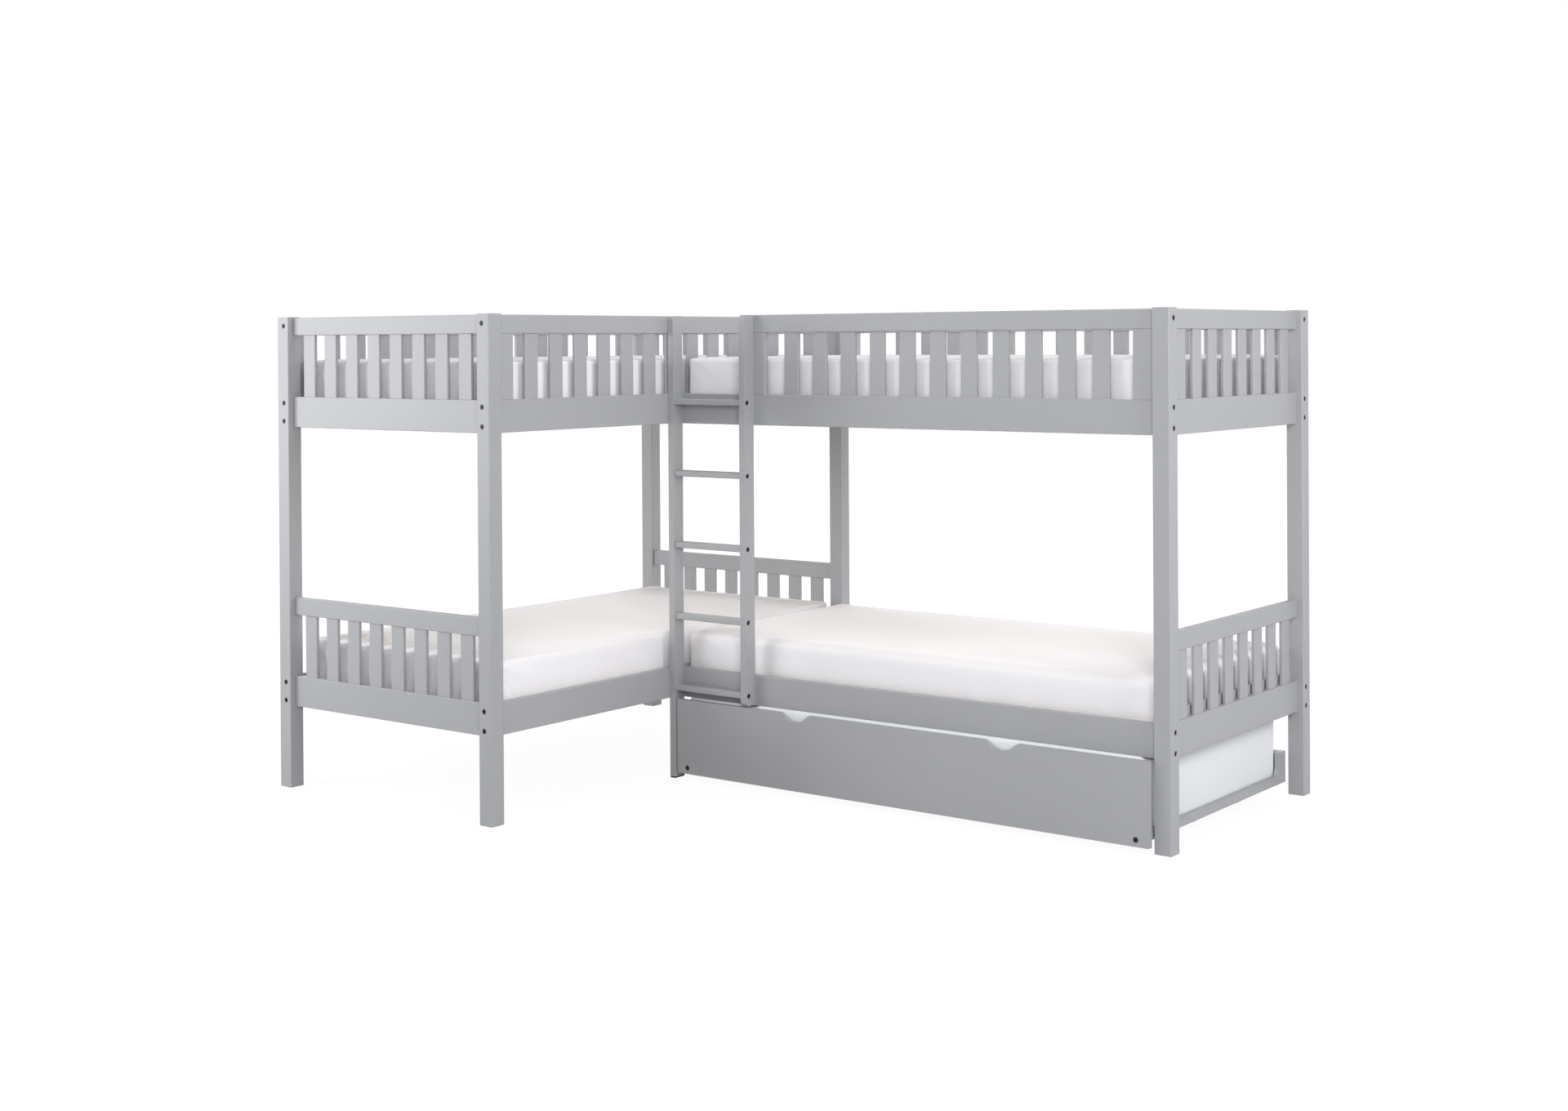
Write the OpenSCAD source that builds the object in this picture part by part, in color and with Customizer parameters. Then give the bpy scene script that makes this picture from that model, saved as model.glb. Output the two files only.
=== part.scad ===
// L-shaped bunk bed: two painted bunk units that share a corner, a ladder, and a trundle bed on wheels.
// The left unit runs from front to back, and the right unit runs to the right from its back half.
// X points right, Y points back, Z points up, and the origin is on the floor under the middle of the bed.

/* [Overall sizes] */
// Length of each unit's frame, over its posts
frame_length = 2000; // [1900:10:2200]
// Width of each unit's frame, over its posts
frame_width = 1060; // [1000:10:1200]
// Height of the posts
post_height = 1664; // [1620:1:1800]
// Side of a square post
post_side = 57; // [54:1:62]
// How far the right unit's front face stands behind the left unit's front face
right_unit_setback = 940; // [900:10:960]

/* [Rails and slats] */
// Thickness of the rails and of the guard stiles
rail_thick = 22; // [20:1:24]
// How far the rails stand in from the outer faces of the posts
rail_inset = 22; // [18:1:24]
// Height of the top rails of the panels and guards
top_rail_height = 62; // [50:1:80]
// Height of the side rails and of the bottom rails of the panels
side_rail_height = 108; // [100:1:120]
// Width of a slat in a panel or guard
slat_width = 60; // [50:1:70]
// Thickness of a slat in a panel or guard
slat_thick = 12; // [10:1:14]
// Slats in each end panel
panel_slats_count = 8; // [6:1:9]
// Slats in each full-length guard
guard_slats_count = 14; // [10:1:15]
// Slats in the short guard beside the ladder
short_guard_slats_count = 11; // [8:1:12]
// Width of the stile at each end of a guard
stile_width = 76; // [60:1:90]

/* [Levels] */
// Underside of the lower side rails
lower_rail_z = 286; // [280:1:300]
// Underside of the upper side rails
upper_rail_z = 1274; // [1240:1:1300]
// Top of the lower end panels
lower_panel_top = 672; // [640:1:700]
// Top of the guards and of the upper end panels
guard_top = 1661; // [1640:1:1700]

/* [Ladder] */
// Clear width between the ladder's stiles
ladder_clear = 302; // [290:1:320]
// Width of a ladder stile, seen from the front
ladder_stile_width = 24; // [22:1:28]
// Depth of a ladder stile, seen from the side
ladder_stile_depth = 52; // [45:1:60]
// Height of the middle of the lowest rung
first_rung_z = 325; // [315:1:330]
// Step from one rung to the next
rung_step = 257; // [240:1:260]
// Height and depth of a rung
rung_size = [21, 45];

/* [Mattresses] */
// Width of the four main mattresses
mattress_width = 960; // [900:5:965]
// Length of the four main mattresses
mattress_length = 1884; // [1800:2:1886]
// Thickness of the four main mattresses
mattress_thick = 150; // [120:5:160]

/* [Trundle] */
// Height of the trundle's front panel
trundle_panel_height = 265; // [240:1:266]
// Gap under the trundle's front panel
trundle_floor_gap = 20; // [15:1:30]
// Depth of a finger grip in the top edge of the front panel
grip_depth = 28; // [20:1:34]
// Thickness of the trundle's mattress
trundle_mattress_thick = 220; // [120:1:222]
// Radius of a trundle wheel
wheel_radius = 23; // [20:1:23]

/* [Hidden] */

paint = "#b7b9bd";
pine = "#d9c4a1";
dark_steel = "#3a3c40";
zinc = "#8f9498";
black_plastic = "#232527";
sheet_white = "#f1efef";

$fn = 32;
// Rounding of the long edges of posts, rails and slats
post_ease = 3;
rail_ease = 2.5;
slat_ease = 2.5;

// The whole bed is 2 units long in X, and they overlap by the post that they share
overall_x = frame_width + frame_length - post_side;
overall_y = frame_length;
end_clear = frame_width - 2 * post_side;
side_clear = frame_length - 2 * post_side;
rail_mid = rail_inset + rail_thick / 2;

// Front left corner of each post
LEFT_FRONT = [0, 0];
INNER_FRONT = [frame_width - post_side, 0];
LEFT_BACK = [0, frame_length - post_side];
MIDDLE_BACK = [frame_width - post_side, frame_length - post_side];
RIGHT_FRONT = [overall_x - post_side, right_unit_setback];
RIGHT_BACK = [overall_x - post_side, frame_length - post_side];

// End panels: the point where the rails' middle plane leaves the first post, and the turn of the run
FRONT_PANEL = [[post_side, rail_mid], 0];
BACK_PANEL = [[post_side, frame_length - rail_mid], 0];
RIGHT_PANEL = [[overall_x - rail_mid, right_unit_setback + post_side], 90];

// Sides: start of the run, its turn, its length, the side of the rail that faces the bed,
// what holds the first end, where the guard starts, and the slats in it
inner_rail_face = frame_width - rail_inset;
ladder_left_x = inner_rail_face + 1;
guard_start_x = ladder_left_x + ladder_stile_width + ladder_clear - 2;
LEFT = [[rail_mid, post_side], 90, side_clear, -1, "bolts", 0, guard_slats_count];
INNER = [[frame_width - rail_mid, post_side], 90, side_clear, 1, "bolts", 0, guard_slats_count];
BACK = [[frame_width, frame_length - rail_mid], 0, side_clear, -1, "tenon", 0, guard_slats_count];
FRONT = [[inner_rail_face, right_unit_setback + rail_mid], 0, overall_x - post_side - inner_rail_face, 1,
         "bracket", guard_start_x - inner_rail_face, short_guard_slats_count];

// Joinery
tenon_long = 14;
tenon_thick = 12;
tenon_shoulder = 8;
slat_let_in = 12;

// Bolts: the head sits below the post's face, and the shank pulls on a barrel nut inside the rail
bolt_head_r = 8.2;
bolt_head_long = 6;
bolt_sunk = 2;
bolt_shank_r = 3;
bolt_hole_r = 3.5;
bolt_sink_r = 8.8;
bolt_sink_long = bolt_head_long + bolt_sunk;
bolt_in_rail = 46;
nut_from_end = 36;
nut_r = 5;
nut_long = 16;
nut_hole_long = 18;
close_fit = 0.05;
guard_bolt_z = guard_top - 29;
bolts_above_rail = [22, 86];
// Leg and height of the steel angles at the front and back ends of the right unit's left end
front_angle = [30, 38];
back_angle = [20, 78];
angle_thick = 3;

// Beds
cleat = 25;
cleat_rise = 49;
cleat_end_play = 12;
cleat_past_angle = 40;
bed_slat_thick = 18;
bed_slat_width = 70;
bed_slats_count = 13;
bed_slat_play = 2;
bed_end_margin = 75;
bed_corner_margin = 30;
low_end_board_high = 74;
low_end_board_drop = 28;
mattress_end_play = 16;
mattress_rise = cleat_rise + cleat + bed_slat_thick;
upper_mattress_z = upper_rail_z + mattress_rise - 2;
lower_mattress_z = lower_rail_z + mattress_rise;

// Ladder
ladder_front_y = right_unit_setback + rail_inset - ladder_stile_depth;
ladder_right_x = ladder_left_x + ladder_stile_width + ladder_clear;
ladder_top = guard_top;
ladder_right_foot = lower_rail_z + 4;
ladder_nose_r = 18;
foot_pad_high = 6;
rung_count = 5;
rung_set_back = 6;
rung_bolt_from_front = 16;
rung_bolt_reach = 40;
ladder_bolt_drop = 22;
ladder_bolt_reach = 30;

// Trundle
trundle_left = frame_width + 9;
trundle_right = overall_x - post_side - 4;
trundle_long = trundle_right - trundle_left;
trundle_front_y = right_unit_setback - 25;
trundle_back_y = trundle_front_y + 1020;
trundle_board = 18;
side_board_z = [44, 72];
side_board_inset = 2;
raised_end_top = 150;
raised_end_deep = 48;
raised_end_fillet = 30;
back_board_z = 40;
trundle_slat_thick = 12;
trundle_slats_count = 12;
bearer_thick = 25;
bearer_high = 18;
bearer_count = 4;
trundle_slat_drop = 9;
trundle_slat_z = side_board_z[1] - trundle_slat_drop - trundle_slat_thick;
bearer_z = trundle_slat_z - bearer_high;
trundle_bolt_in = 46;
grip_from_middle = 412;
grip_half_width = 69;
grip_shoulder_r = 24;
grip_rise = 0.4;
grip_bite = 0.05;
wheel_width = 20;
axle_r = 3;
caster_plate = [55, 48, 3];
caster_cheek_r = 9;
caster_cheek_thick = 2.5;
caster_wheel_play = 1.5;
caster_in = [95, 105];
trundle_mattress_width = 978;
trundle_mattress_play = 4;

// Mattress forms: soft vertical corners, rounded edges, a low crown, and sides drawn in between the corners.
// A form's list holds the radii of the upright corners, the lower edge and the upper edge, then the crown
// and the draw-in.
bed_mattress_form = [60, 12, 24, 7, 8];
trundle_mattress_form = [28, 9, 12, 2, 3];
ring_points = 36;

// ---------- Shared shapes ----------

// Everything is placed from the floor under the outer corner of the left front post
module from_corner() {
    translate([-overall_x / 2, -overall_y / 2, 0]) children();
}

// Rectangle with its four corners rounded
module eased_outline(w, h, r) {
    translate([r, 0]) square([w - 2 * r, h]);
    translate([0, r]) square([w, h - 2 * r]);
    for (x = [r, w - r], y = [r, h - r]) translate([x, y]) circle(r);
}

// Planed board whose long edges are eased; run is the axis that it lies along
module board(at, size, run, ease) {
    translate(at)
        if (run == "x")
            rotate([90, 0, 90]) linear_extrude(size.x) eased_outline(size.y, size.z, ease);
        else if (run == "y")
            translate([0, size.y, 0]) rotate([90, 0, 0]) linear_extrude(size.y)
                eased_outline(size.x, size.z, ease);
        else
            linear_extrude(size.z) eased_outline(size.x, size.y, ease);
}

// Round rod that starts at a point and lies along +X or -X
module rod_x(at, r, length) {
    translate(at) rotate([0, length < 0 ? -90 : 90, 0]) cylinder(r = r, h = abs(length));
}

// Round rod that starts at a point and lies along +Y or -Y
module rod_y(at, r, length) {
    translate(at) rotate([length < 0 ? 90 : -90, 0, 0]) cylinder(r = r, h = abs(length));
}

// Puts a run's start at the origin, with its rails' middle plane on Y = 0
module along(run) {
    from_corner() translate([run[0].x, run[0].y, 0]) rotate([0, 0, run[1]]) children();
}

// Socket-head bolt along +X with the top of its head at the origin
module socket_bolt(reach) {
    difference() {
        union() {
            rod_x([0, 0, 0], bolt_head_r, bolt_head_long);
            rod_x([0, 0, 0], bolt_shank_r, reach);
        }
        rotate([0, 90, 0]) cylinder(r = 3, h = 3.5, $fn = 6);
    }
}

// ---------- End panels ----------

function panel_slat_gap() = (end_clear - panel_slats_count * slat_width) / (panel_slats_count + 1);
function panel_slat_x(i) = panel_slat_gap() + i * (slat_width + panel_slat_gap());
panel_levels = [[lower_rail_z, lower_panel_top], [upper_rail_z, guard_top]];

module panel_rail_tenons(z, height) {
    for (x = [-tenon_long, end_clear])
        translate([x, -tenon_thick / 2, z + tenon_shoulder])
            cube([tenon_long, tenon_thick, height - 2 * tenon_shoulder]);
}

module panel_rail(z, height) {
    board([0, -rail_thick / 2, z], [end_clear, rail_thick, height], "x", rail_ease);
    panel_rail_tenons(z, height);
}

module all_panel_tenons(panel) {
    along(panel)
        for (level = panel_levels) {
            panel_rail_tenons(level[0], side_rail_height);
            panel_rail_tenons(level[1] - top_rail_height, top_rail_height);
        }
}

module slat(x, bottom, top) {
    board([x, -slat_thick / 2, bottom], [slat_width, slat_thick, top - bottom], "z", slat_ease);
}

module slats_of_panel(level) {
    bottom = level[0] + side_rail_height - slat_let_in;
    top = level[1] - top_rail_height + slat_let_in;
    for (i = [0 : panel_slats_count - 1]) slat(panel_slat_x(i), bottom, top);
}

module panel_top_rails(panel) {
    color(paint) along(panel)
        for (level = panel_levels)
            difference() {
                panel_rail(level[1] - top_rail_height, top_rail_height);
                slats_of_panel(level);
            }
}

module panel_bottom_rails(panel) {
    color(paint) along(panel)
        for (level = panel_levels)
            difference() {
                panel_rail(level[0], side_rail_height);
                slats_of_panel(level);
            }
}

module panel_slats(panel) {
    color(paint) along(panel)
        for (level = panel_levels) slats_of_panel(level);
}

// ---------- Guards and side rails ----------

function bolt_ends(side) = side[4] == "bolts" ? [0, side[2]] : [side[2]];
function guard_length(side) = side[2] - side[5];
side_rail_levels = [lower_rail_z, upper_rail_z];
bolt_heights = [
    for (z = side_rail_levels, up = bolts_above_rail) z + up,
    guard_bolt_z
];

// Places a bolt's frame at each bolted end of a side: +X into the rail, from the rail's end
module at_bolts(side, heights) {
    for (end = bolt_ends(side), z = heights)
        translate([end, 0, z]) mirror([end > 0 ? 1 : 0, 0, 0]) children();
}

module bolt_holes(side, heights) {
    at_bolts(side, heights) {
        rod_x([-post_side, 0, 0], bolt_hole_r, post_side + bolt_in_rail + 2);
        rod_x([-post_side, 0, 0], bolt_sink_r, bolt_sink_long);
    }
}

// Blind holes for the barrel nuts, bored from the side of the rail that faces the bed
module nut_holes(side, heights) {
    at_bolts(side, heights)
        rod_y([nut_from_end, side[3] * rail_thick / 2, 0], nut_r, -side[3] * nut_hole_long);
}

// A guard's end stiles fill the height between its rails and have stub tenons like the slats
module guard_stiles(side) {
    bottom = upper_rail_z + side_rail_height;
    top = guard_top - top_rail_height;
    for (x = [side[5], side[2] - stile_width]) {
        board([x, -rail_thick / 2, bottom], [stile_width, rail_thick, top - bottom], "z", rail_ease);
        translate([x + tenon_shoulder, -tenon_thick / 2, bottom - slat_let_in])
            cube([stile_width - 2 * tenon_shoulder, tenon_thick, top - bottom + 2 * slat_let_in]);
    }
}

module guard_uprights(side) {
    clear = guard_length(side) - 2 * stile_width;
    // The short guard's slats keep the full guards' rhythm, and leave wider gaps at its ends
    gap = side[5] > 0 ? slat_width + 0.5 : (clear - side[6] * slat_width) / (side[6] + 1);
    row = side[6] * slat_width + (side[6] - 1) * gap;
    first = side[5] + stile_width + (clear - row) / 2;
    guard_stiles(side);
    for (i = [0 : side[6] - 1])
        slat(first + i * (slat_width + gap), upper_rail_z + side_rail_height - slat_let_in,
             guard_top - top_rail_height + slat_let_in);
}

module rail_stub_tenon(side, z, height) {
    if (side[4] == "tenon")
        translate([-tenon_long, -tenon_thick / 2, z + tenon_shoulder])
            cube([tenon_long, tenon_thick, height - 2 * tenon_shoulder]);
}

module all_stub_tenons(side) {
    along(side) {
        for (z = side_rail_levels) rail_stub_tenon(side, z, side_rail_height);
        rail_stub_tenon(side, guard_top - top_rail_height, top_rail_height);
    }
}

module guard_top_rail(side) {
    z = guard_top - top_rail_height;
    color(paint) along(side)
        difference() {
            union() {
                board([side[5], -rail_thick / 2, z], [guard_length(side), rail_thick, top_rail_height],
                      "x", rail_ease);
                rail_stub_tenon(side, z, top_rail_height);
            }
            guard_uprights(side);
            bolt_holes(side, [guard_bolt_z]);
            nut_holes(side, [guard_bolt_z]);
        }
}

module guard_slats(side) {
    color(paint) along(side) guard_uprights(side);
}

module side_rail(side, z) {
    heights = [for (up = bolts_above_rail) z + up];
    color(paint) along(side)
        difference() {
            union() {
                board([0, -rail_thick / 2, z], [side[2], rail_thick, side_rail_height], "x", rail_ease);
                rail_stub_tenon(side, z, side_rail_height);
            }
            if (z == upper_rail_z) guard_uprights(side);
            bolt_holes(side, heights);
            nut_holes(side, heights);
            if (side[4] == "bracket") ladder_to_rail_holes(side, z);
        }
}

// ---------- Posts ----------

module post(at, panel, side) {
    color(paint)
        difference() {
            from_corner() board([at.x, at.y, 0], [post_side, post_side, post_height], "z", post_ease);
            all_panel_tenons(panel);
            along(side) bolt_holes(side, bolt_heights);
            if (at == MIDDLE_BACK) all_stub_tenons(BACK);
        }
}

// ---------- Bed platforms ----------

// One cleat inside each side rail carries the ends of the bed slats
module support_cleats() {
    for (side = [LEFT, INNER, BACK, FRONT], z = side_rail_levels) {
        start = side[4] == "bracket" ? cleat_past_angle : cleat_end_play;
        y = side[3] > 0 ? rail_thick / 2 : -rail_thick / 2 - cleat;
        top = z == upper_rail_z ? upper_mattress_z : lower_mattress_z;
        color(pine) along(side)
            board([start, y, top - bed_slat_thick - cleat],
                  [side[2] - start - cleat_end_play, cleat, cleat], "x", rail_ease);
    }
}

function bed_slat_at(first, last, i) = first + i * (last - first - bed_slat_width) / (bed_slats_count - 1);

module left_bed_slats(mattress_z) {
    x = rail_inset + rail_thick + bed_slat_play;
    color(pine) from_corner()
        for (i = [0 : bed_slats_count - 1])
            board([x, bed_slat_at(bed_end_margin, frame_length - bed_end_margin, i),
                   mattress_z - bed_slat_thick],
                  [frame_width - 2 * x, bed_slat_width, bed_slat_thick], "x", rail_ease);
}

module right_bed_slats(mattress_z) {
    y = right_unit_setback + rail_inset + rail_thick + bed_slat_play;
    long = frame_length - rail_inset - rail_thick - bed_slat_play - y;
    first = frame_width + bed_corner_margin;
    last = overall_x - bed_end_margin;
    color(pine) from_corner()
        for (i = [0 : bed_slats_count - 1])
            board([bed_slat_at(first, last, i), y, mattress_z - bed_slat_thick],
                  [bed_slat_width, long, bed_slat_thick], "y", rail_ease);
}

// Thin board that keeps the lower right mattress off the end panel
module low_end_board() {
    x = overall_x - rail_inset - rail_thick - slat_thick;
    color(paint) from_corner()
        board([x, right_unit_setback + post_side + 1, lower_mattress_z - low_end_board_drop],
              [slat_thick, end_clear - 2, low_end_board_high], "y", slat_ease);
}

// ---------- Ladder ----------

function rung_z(i) = first_rung_z + i * rung_step;
ladder_stile_x = [ladder_left_x, ladder_right_x];
ladder_rail_z = [for (z = side_rail_levels) z + side_rail_height - ladder_bolt_drop];

// Side view of a stile: square, with its front top corner rounded, and its front foot too where it hangs
module ladder_stile_outline(bottom, round_foot) {
    r = ladder_nose_r;
    difference() {
        translate([0, bottom]) square([ladder_stile_depth, ladder_top - bottom]);
        translate([-1, ladder_top - r]) square([r + 1, r + 1]);
        if (round_foot) translate([-1, bottom - 1]) square([r + 1, r + 1]);
    }
    translate([r, ladder_top - r]) circle(r, $fn = 64);
    if (round_foot) translate([r, bottom + r]) circle(r, $fn = 64);
}

module rung_bolt_holes() {
    for (x = ladder_stile_x, i = [0 : rung_count - 1])
        translate([x, ladder_front_y + rung_bolt_from_front, rung_z(i)]) {
            rod_x([0, 0, 0], bolt_shank_r + close_fit, ladder_stile_width);
            outer = x == ladder_left_x ? 0 : ladder_stile_width;
            rod_x([outer, 0, 0], bolt_sink_r, (outer > 0 ? -1 : 1) * bolt_sink_long);
        }
}

// Bolts from inside the front side rails hold the ladder's stiles
module at_ladder_rail_bolts() {
    for (x = ladder_stile_x, z = ladder_rail_z)
        translate([x + ladder_stile_width / 2, right_unit_setback + rail_inset + rail_thick, z])
            rotate([0, 0, -90]) children();
}

module ladder_rail_bolt_holes() {
    at_ladder_rail_bolts() {
        rod_x([0, 0, 0], bolt_hole_r, rail_thick);
        rod_x([0, 0, 0], bolt_shank_r + close_fit, rail_thick + ladder_bolt_reach + 2);
        rod_x([0, 0, 0], bolt_sink_r, bolt_sink_long);
    }
}

// The same holes, seen from the front side rail's own run
module ladder_to_rail_holes(side, z) {
    for (x = ladder_stile_x)
        translate([x + ladder_stile_width / 2 - side[0].x, rail_thick / 2,
                   z + side_rail_height - ladder_bolt_drop])
            rotate([0, 0, -90]) {
                rod_x([0, 0, 0], bolt_hole_r, rail_thick);
                rod_x([0, 0, 0], bolt_sink_r, bolt_sink_long);
            }
}

module ladder_stile(x, bottom, round_foot) {
    color(paint) from_corner()
        difference() {
            translate([x, ladder_front_y, 0]) rotate([90, 0, 90]) linear_extrude(ladder_stile_width)
                ladder_stile_outline(bottom, round_foot);
            rung_bolt_holes();
            ladder_rail_bolt_holes();
        }
}

module ladder_left_stile() {
    ladder_stile(ladder_left_x, foot_pad_high, false);
}

module ladder_right_stile() {
    ladder_stile(ladder_right_x, ladder_right_foot, true);
}

module ladder_rungs() {
    x = ladder_left_x + ladder_stile_width;
    color(paint) from_corner()
        for (i = [0 : rung_count - 1])
            difference() {
                board([x, ladder_front_y + rung_set_back, rung_z(i) - rung_size[0] / 2],
                      [ladder_clear, rung_size[1], rung_size[0]], "x", 4);
                for (end = [x, x + ladder_clear])
                    rod_x([end, ladder_front_y + rung_bolt_from_front, rung_z(i)],
                          bolt_shank_r + close_fit, (end > x ? -1 : 1) * rung_bolt_reach);
            }
}

module ladder_foot_pad() {
    color(black_plastic) from_corner()
        board([ladder_left_x, ladder_front_y, 0], [ladder_stile_width, ladder_stile_depth, foot_pad_high],
              "z", 2);
}

// ---------- Fasteners of the frame ----------

module rung_bolts() {
    for (x = ladder_stile_x, i = [0 : rung_count - 1]) {
        outward = x == ladder_left_x ? -1 : 1;
        translate([x + (outward > 0 ? ladder_stile_width - bolt_sunk : bolt_sunk),
                   ladder_front_y + rung_bolt_from_front, rung_z(i)])
            mirror([outward > 0 ? 1 : 0, 0, 0])
                socket_bolt(ladder_stile_width - bolt_sunk + rung_bolt_reach - 2);
    }
}

module frame_bolts() {
    color(dark_steel) {
        for (side = [LEFT, INNER, BACK, FRONT])
            along(side) at_bolts(side, bolt_heights)
                translate([bolt_sunk - post_side, 0, 0])
                    socket_bolt(post_side - bolt_sunk + bolt_in_rail);
        from_corner() {
            rung_bolts();
            at_ladder_rail_bolts() translate([bolt_sunk, 0, 0])
                socket_bolt(rail_thick - bolt_sunk + ladder_bolt_reach);
        }
    }
}

module barrel_nuts() {
    color(zinc)
        for (side = [LEFT, INNER, BACK, FRONT])
            along(side) at_bolts(side, bolt_heights)
                difference() {
                    rod_y([nut_from_end, side[3] * (rail_thick / 2 - nut_hole_long), 0],
                          nut_r - close_fit, side[3] * nut_long);
                    rod_x([0, 0, 0], bolt_shank_r + close_fit, bolt_in_rail);
                }
}

// Steel angle that ties two boards which meet at a right angle
module steel_angle(size) {
    cube([size[0], angle_thick, size[1]]);
    cube([angle_thick, size[0], size[1]]);
}

module corner_brackets() {
    color(zinc) from_corner()
        for (z = side_rail_levels) {
            translate([inner_rail_face, right_unit_setback + rail_inset + rail_thick, z + 4])
                steel_angle(front_angle);
            translate([frame_width, frame_length - rail_inset, z + 15])
                steel_angle(back_angle);
        }
}

// ---------- Trundle ----------

// A finger grip, from the panel's top edge: a hollow circle between two shoulder circles that it just
// cuts into. The shoulders break through the top edge by grip_rise, which gives the grip a clean start.
module grip_outline() {
    shoulder_z = grip_rise - grip_shoulder_r;
    fall = grip_depth + grip_rise;
    reach = (pow(grip_half_width, 2) + pow(fall, 2)) / (2 * fall);
    hollow_r = reach - grip_shoulder_r;
    hollow_z = hollow_r - grip_depth;
    difference() {
        union() {
            translate([0, hollow_z]) circle(hollow_r + grip_bite, $fn = 128);
            polygon([[-grip_half_width, shoulder_z], [0, hollow_z], [grip_half_width, shoulder_z],
                     [grip_half_width, hollow_z + 1], [-grip_half_width, hollow_z + 1]]);
        }
        for (x = [-grip_half_width, grip_half_width])
            translate([x, shoulder_z]) circle(grip_shoulder_r, $fn = 96);
    }
}

// One board, cut out in front view: eased corners, and two finger grips in its top edge
module trundle_front_panel() {
    middle = trundle_long / 2;
    color(paint) from_corner()
        difference() {
            translate([trundle_left, trundle_front_y + trundle_board, trundle_floor_gap])
                rotate([90, 0, 0]) linear_extrude(trundle_board) difference() {
                    eased_outline(trundle_long, trundle_panel_height, post_ease);
                    for (x = [middle - grip_from_middle, middle + grip_from_middle])
                        translate([x, trundle_panel_height]) grip_outline();
                }
            trundle_bolt_holes(bolt_hole_r);
        }
}

module at_trundle_bolts() {
    for (x = [trundle_left + trundle_bolt_in, trundle_right - trundle_bolt_in])
        translate([x, trundle_front_y, bearer_z + bearer_high / 2]) rotate([0, 0, 90]) children();
}

module trundle_bolt_holes(r) {
    at_trundle_bolts() {
        rod_x([0, 0, 0], r, trundle_board + bearer_thick - 2);
        rod_x([0, 0, 0], bolt_sink_r, 3);
    }
}

// Low board whose back end rises, with a soft inner corner, to meet the back board
module side_board_outline() {
    long = trundle_back_y - trundle_front_y - trundle_board;
    low = side_board_z[1];
    corner = long - raised_end_deep - raised_end_fillet;
    translate([0, side_board_z[0]]) square([long, low - side_board_z[0]]);
    translate([long - raised_end_deep, side_board_z[0]])
        square([raised_end_deep, raised_end_top - side_board_z[0]]);
    difference() {
        translate([corner, low]) square(raised_end_fillet);
        translate([corner, low + raised_end_fillet]) circle(raised_end_fillet, $fn = 64);
    }
}

module trundle_side_boards() {
    color(paint) from_corner()
        for (x = [trundle_left + side_board_inset, trundle_right - side_board_inset - trundle_board])
            translate([x, trundle_front_y + trundle_board, 0])
                rotate([90, 0, 90]) linear_extrude(trundle_board) side_board_outline();
}

trundle_inner_left = trundle_left + side_board_inset + trundle_board;
trundle_inner_long = trundle_long - 2 * (side_board_inset + trundle_board);

module trundle_back_board() {
    color(paint) from_corner()
        board([trundle_inner_left, trundle_back_y - trundle_board, back_board_z],
              [trundle_inner_long, trundle_board, raised_end_top - back_board_z], "x", rail_ease);
}

module trundle_bearers() {
    first = trundle_front_y + trundle_board;
    last = trundle_back_y - trundle_board - bearer_thick;
    color(pine) from_corner()
        difference() {
            for (i = [0 : bearer_count - 1])
                board([trundle_inner_left, first + i * (last - first) / (bearer_count - 1), bearer_z],
                      [trundle_inner_long, bearer_thick, bearer_high], "x", rail_ease);
            trundle_bolt_holes(bolt_shank_r + close_fit);
        }
}

module trundle_slats() {
    margin = 40;
    pitch = (trundle_inner_long - 2 * margin - bed_slat_width) / (trundle_slats_count - 1);
    y = trundle_front_y + trundle_board + 2;
    color(pine) from_corner()
        for (i = [0 : trundle_slats_count - 1])
            board([trundle_inner_left + margin + i * pitch, y, trundle_slat_z],
                  [bed_slat_width, trundle_back_y - trundle_board - 2 - y, trundle_slat_thick],
                  "y", rail_ease);
}

module trundle_bolts() {
    color(dark_steel) from_corner() at_trundle_bolts()
        translate([-1, 0, 0]) difference() {
            union() {
                rod_x([0, 0, 0], bolt_head_r, 4);
                rod_x([0, 0, 0], bolt_shank_r, trundle_board + bearer_thick - 4);
            }
            rotate([0, 90, 0]) cylinder(r = 3, h = 2.5, $fn = 6);
        }
}

wheel_x = [trundle_left + caster_in[0], trundle_right - caster_in[0]];
wheel_y = [trundle_front_y + caster_in[1], trundle_back_y - caster_in[1]];

// Folded steel fork: a plate under the slats, two cheeks, and the axle riveted through them
module caster_fork() {
    half = wheel_width / 2 + caster_wheel_play;
    outer = half + caster_cheek_thick;
    plate_z = trundle_slat_z - caster_plate.z;
    translate([-caster_plate.x / 2, -caster_plate.y / 2, plate_z]) cube(caster_plate);
    for (x = [-outer, half])
        translate([x, 0, 0]) rotate([90, 0, 90]) linear_extrude(caster_cheek_thick) {
            translate([0, wheel_radius]) circle(caster_cheek_r);
            translate([-caster_cheek_r, wheel_radius])
                square([2 * caster_cheek_r, plate_z - wheel_radius]);
        }
    rod_x([-outer - 2, 0, wheel_radius], axle_r, 2 * (outer + 2));
}

module caster_forks() {
    color(zinc) from_corner()
        for (x = wheel_x, y = wheel_y) translate([x, y, 0]) caster_fork();
}

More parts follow.
